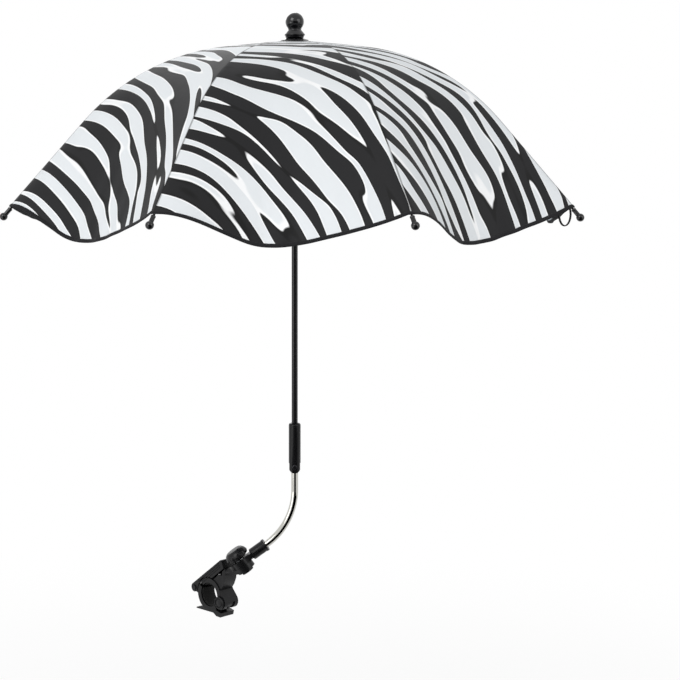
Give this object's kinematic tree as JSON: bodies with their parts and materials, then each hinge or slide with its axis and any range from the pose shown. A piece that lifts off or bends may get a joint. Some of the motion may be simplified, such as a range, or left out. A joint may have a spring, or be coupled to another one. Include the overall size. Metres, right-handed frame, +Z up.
{
  "type": "stroller parasol",
  "caption": "Folding sun parasol for a pushchair: scalloped canopy on a tilting shaft, bent tube arm and a lever clamp that grips a handlebar.",
  "frame": {"origin": "centre of the handlebar held in the clamp", "axes": "+Z up along the shaft, +X from the clamp towards the shaft in the plane of the bent arm, the handlebar runs along +X+Y"},
  "size_m": [0.7332, 0.7332, 0.813],
  "materials": {
    "plastic": "satin black moulded nylon",
    "gloss": "glossy black moulded plastic",
    "rubber": "matte black",
    "tube": "polished stainless steel",
    "steel": "zinc plated",
    "painted": "satin black paint",
    "cloth": "white polyester with a dark zebra stripe print",
    "webbing": "matte black webbing"
  },
  "bodies": {
    "clamp": {"clamp_body": "plastic", "clamp_liner": "rubber", "jaw_pin": "plastic", "jaw_pin_clip": "steel", "swivel_bolt": "steel"},
    "jaw": {"clamp_jaw": "plastic", "jaw_liner": "rubber", "lever_pin": "steel"},
    "lever": {"clamp_lever": "plastic"},
    "knob": {"swivel_knob": "plastic", "knob_nut": "steel"},
    "arm": {"arm_socket": "plastic", "socket_pin": "steel", "bent_tube": "tube", "tilt_knuckle": "steel", "swivel_washer": "steel"},
    "pole": {"tilt_housing": "plastic", "tilt_washer": "steel", "tilt_rivet": "painted", "shaft_pin": "steel", "shaft": "painted", "top_catch_spring": "steel", "crown": "plastic", "crown_wire": "steel", "cover_plate": "gloss", "finial": "gloss"},
    "slider": {"runner": "plastic"},
    "spoke_1": {"rib_1": "painted", "rib_tip_1": "gloss", "canopy_panel_1": "cloth", "closure_strap": "webbing"},
    "spoke_2": {"rib_2": "painted", "rib_tip_2": "gloss", "canopy_panel_2": "cloth"},
    "spoke_3": {"rib_3": "painted", "rib_tip_3": "gloss", "canopy_panel_3": "cloth"},
    "spoke_4": {"rib_4": "painted", "rib_tip_4": "gloss", "canopy_panel_4": "cloth"},
    "spoke_5": {"rib_5": "painted", "rib_tip_5": "gloss", "canopy_panel_5": "cloth"},
    "spoke_6": {"rib_6": "painted", "rib_tip_6": "gloss", "canopy_panel_6": "cloth"},
    "spoke_7": {"rib_7": "painted", "rib_tip_7": "gloss", "canopy_panel_7": "cloth"},
    "spoke_8": {"rib_8": "painted", "rib_tip_8": "gloss", "canopy_panel_8": "cloth"},
    "strut_1": {"stretcher_1": "painted"},
    "strut_2": {"stretcher_2": "painted"},
    "strut_3": {"stretcher_3": "painted"},
    "strut_4": {"stretcher_4": "painted"},
    "strut_5": {"stretcher_5": "painted"},
    "strut_6": {"stretcher_6": "painted"},
    "strut_7": {"stretcher_7": "painted"},
    "strut_8": {"stretcher_8": "painted"}
  },
  "joints": [
    {"name": "jaw_hinge", "type": "hinge", "parent": "clamp", "child": "jaw", "pos_m": [0.0156, -0.0156, -0.00717], "axis": [-0.7071, -0.7071, 0], "range_deg": [0, 30]},
    {"name": "lever_hinge", "type": "hinge", "parent": "jaw", "child": "lever", "pos_m": [-0.02157, 0.02157, 0.0045], "axis": [-0.7071, -0.7071, 0], "range_deg": [0, 100]},
    {"name": "knob_turn", "type": "hinge", "parent": "clamp", "child": "knob", "pos_m": [0.0365, -0.034, 0.0522], "axis": [-0.5878, 0, 0.809], "continuous": true},
    {"name": "arm_swivel", "type": "hinge", "parent": "clamp", "child": "arm", "pos_m": [0.0365, -0.034, 0.0522], "axis": [-0.5878, 0, 0.809], "range_deg": [-90, 90]},
    {"name": "shaft_tilt", "type": "hinge", "parent": "arm", "child": "pole", "pos_m": [0.1084, -0.034, 0.18312], "axis": [0, 1, 0], "range_deg": [-75, 75]},
    {"name": "fold", "type": "hinge", "parent": "pole", "child": "spoke_1", "pos_m": [0.11839, -0.03861, 0.7427], "axis": [0.4187, 0.9081, 0], "range_deg": [0, 59], "deforming": ["canopy_panel_1", "closure_strap"]},
    {"name": "rib_2_hinge", "type": "hinge", "parent": "pole", "child": "spoke_2", "pos_m": [0.11221, -0.04432, 0.7427], "axis": [0.9382, 0.3461, 0], "range_deg": [0, 59], "deforming": ["canopy_panel_2"]},
    {"name": "rib_3_hinge", "type": "hinge", "parent": "pole", "child": "spoke_3", "pos_m": [0.1038, -0.04399, 0.7427], "axis": [0.9081, -0.4187, 0], "range_deg": [0, 59], "deforming": ["canopy_panel_3"]},
    {"name": "rib_4_hinge", "type": "hinge", "parent": "pole", "child": "spoke_4", "pos_m": [0.09808, -0.03781, 0.7427], "axis": [0.3461, -0.9382, 0], "range_deg": [0, 59], "deforming": ["canopy_panel_4"]},
    {"name": "rib_5_hinge", "type": "hinge", "parent": "pole", "child": "spoke_5", "pos_m": [0.09841, -0.0294, 0.7427], "axis": [-0.4187, -0.9081, 0], "range_deg": [0, 59], "deforming": ["canopy_panel_5"]},
    {"name": "rib_6_hinge", "type": "hinge", "parent": "pole", "child": "spoke_6", "pos_m": [0.10459, -0.02368, 0.7427], "axis": [-0.9382, -0.3461, 0], "range_deg": [0, 59], "deforming": ["canopy_panel_6"]},
    {"name": "rib_7_hinge", "type": "hinge", "parent": "pole", "child": "spoke_7", "pos_m": [0.11301, -0.02401, 0.7427], "axis": [-0.9081, 0.4187, 0], "range_deg": [0, 59], "deforming": ["canopy_panel_7"]},
    {"name": "rib_8_hinge", "type": "hinge", "parent": "pole", "child": "spoke_8", "pos_m": [0.11872, -0.03019, 0.7427], "axis": [-0.3461, 0.9382, 0], "range_deg": [0, 59], "deforming": ["canopy_panel_8"]},
    {"name": "stretcher_1_hinge", "type": "hinge", "parent": "spoke_1", "child": "strut_1", "pos_m": [0.27801, -0.11219, 0.70532], "axis": [0.4187, 0.9081, 0], "range_deg": [-118, 0]},
    {"name": "stretcher_2_hinge", "type": "hinge", "parent": "spoke_2", "child": "strut_2", "pos_m": [0.17305, -0.20922, 0.70532], "axis": [0.9382, 0.3461, 0], "range_deg": [-118, 0]},
    {"name": "stretcher_3_hinge", "type": "hinge", "parent": "spoke_3", "child": "strut_3", "pos_m": [0.03021, -0.20361, 0.70532], "axis": [0.9081, -0.4187, 0], "range_deg": [-118, 0]},
    {"name": "stretcher_4_hinge", "type": "hinge", "parent": "spoke_4", "child": "strut_4", "pos_m": [-0.06682, -0.09864, 0.70532], "axis": [0.3461, -0.9382, 0], "range_deg": [-118, 0]},
    {"name": "stretcher_5_hinge", "type": "hinge", "parent": "spoke_5", "child": "strut_5", "pos_m": [-0.06121, 0.04419, 0.70532], "axis": [-0.4187, -0.9081, 0], "range_deg": [-118, 0]},
    {"name": "stretcher_6_hinge", "type": "hinge", "parent": "spoke_6", "child": "strut_6", "pos_m": [0.04376, 0.14122, 0.70532], "axis": [-0.9382, -0.3461, 0], "range_deg": [-118, 0]},
    {"name": "stretcher_7_hinge", "type": "hinge", "parent": "spoke_7", "child": "strut_7", "pos_m": [0.18659, 0.13561, 0.70532], "axis": [-0.9081, 0.4187, 0], "range_deg": [-118, 0]},
    {"name": "stretcher_8_hinge", "type": "hinge", "parent": "spoke_8", "child": "strut_8", "pos_m": [0.28362, 0.03064, 0.70532], "axis": [-0.3461, 0.9382, 0], "range_deg": [-118, 0]},
    {"name": "runner_slide", "type": "slide", "parent": "pole", "child": "slider", "axis": [0, 0, -1], "range_m": [0, 0.2651], "deforming": ["top_catch_spring"]}
  ],
  "couplings": [
    {"joint": "jaw_hinge", "follows": "lever_hinge", "ratio": 0.3},
    {"joint": "rib_2_hinge", "follows": "fold", "ratio": 1},
    {"joint": "rib_3_hinge", "follows": "fold", "ratio": 1},
    {"joint": "rib_4_hinge", "follows": "fold", "ratio": 1},
    {"joint": "rib_5_hinge", "follows": "fold", "ratio": 1},
    {"joint": "rib_6_hinge", "follows": "fold", "ratio": 1},
    {"joint": "rib_7_hinge", "follows": "fold", "ratio": 1},
    {"joint": "rib_8_hinge", "follows": "fold", "ratio": 1},
    {"joint": "stretcher_1_hinge", "follows": "fold", "ratio": -2},
    {"joint": "stretcher_2_hinge", "follows": "fold", "ratio": -2},
    {"joint": "stretcher_3_hinge", "follows": "fold", "ratio": -2},
    {"joint": "stretcher_4_hinge", "follows": "fold", "ratio": -2},
    {"joint": "stretcher_5_hinge", "follows": "fold", "ratio": -2},
    {"joint": "stretcher_6_hinge", "follows": "fold", "ratio": -2},
    {"joint": "stretcher_7_hinge", "follows": "fold", "ratio": -2},
    {"joint": "stretcher_8_hinge", "follows": "fold", "ratio": -2},
    {"joint": "runner_slide", "follows": "fold", "m_per_rad": 0.2574}
  ]
}
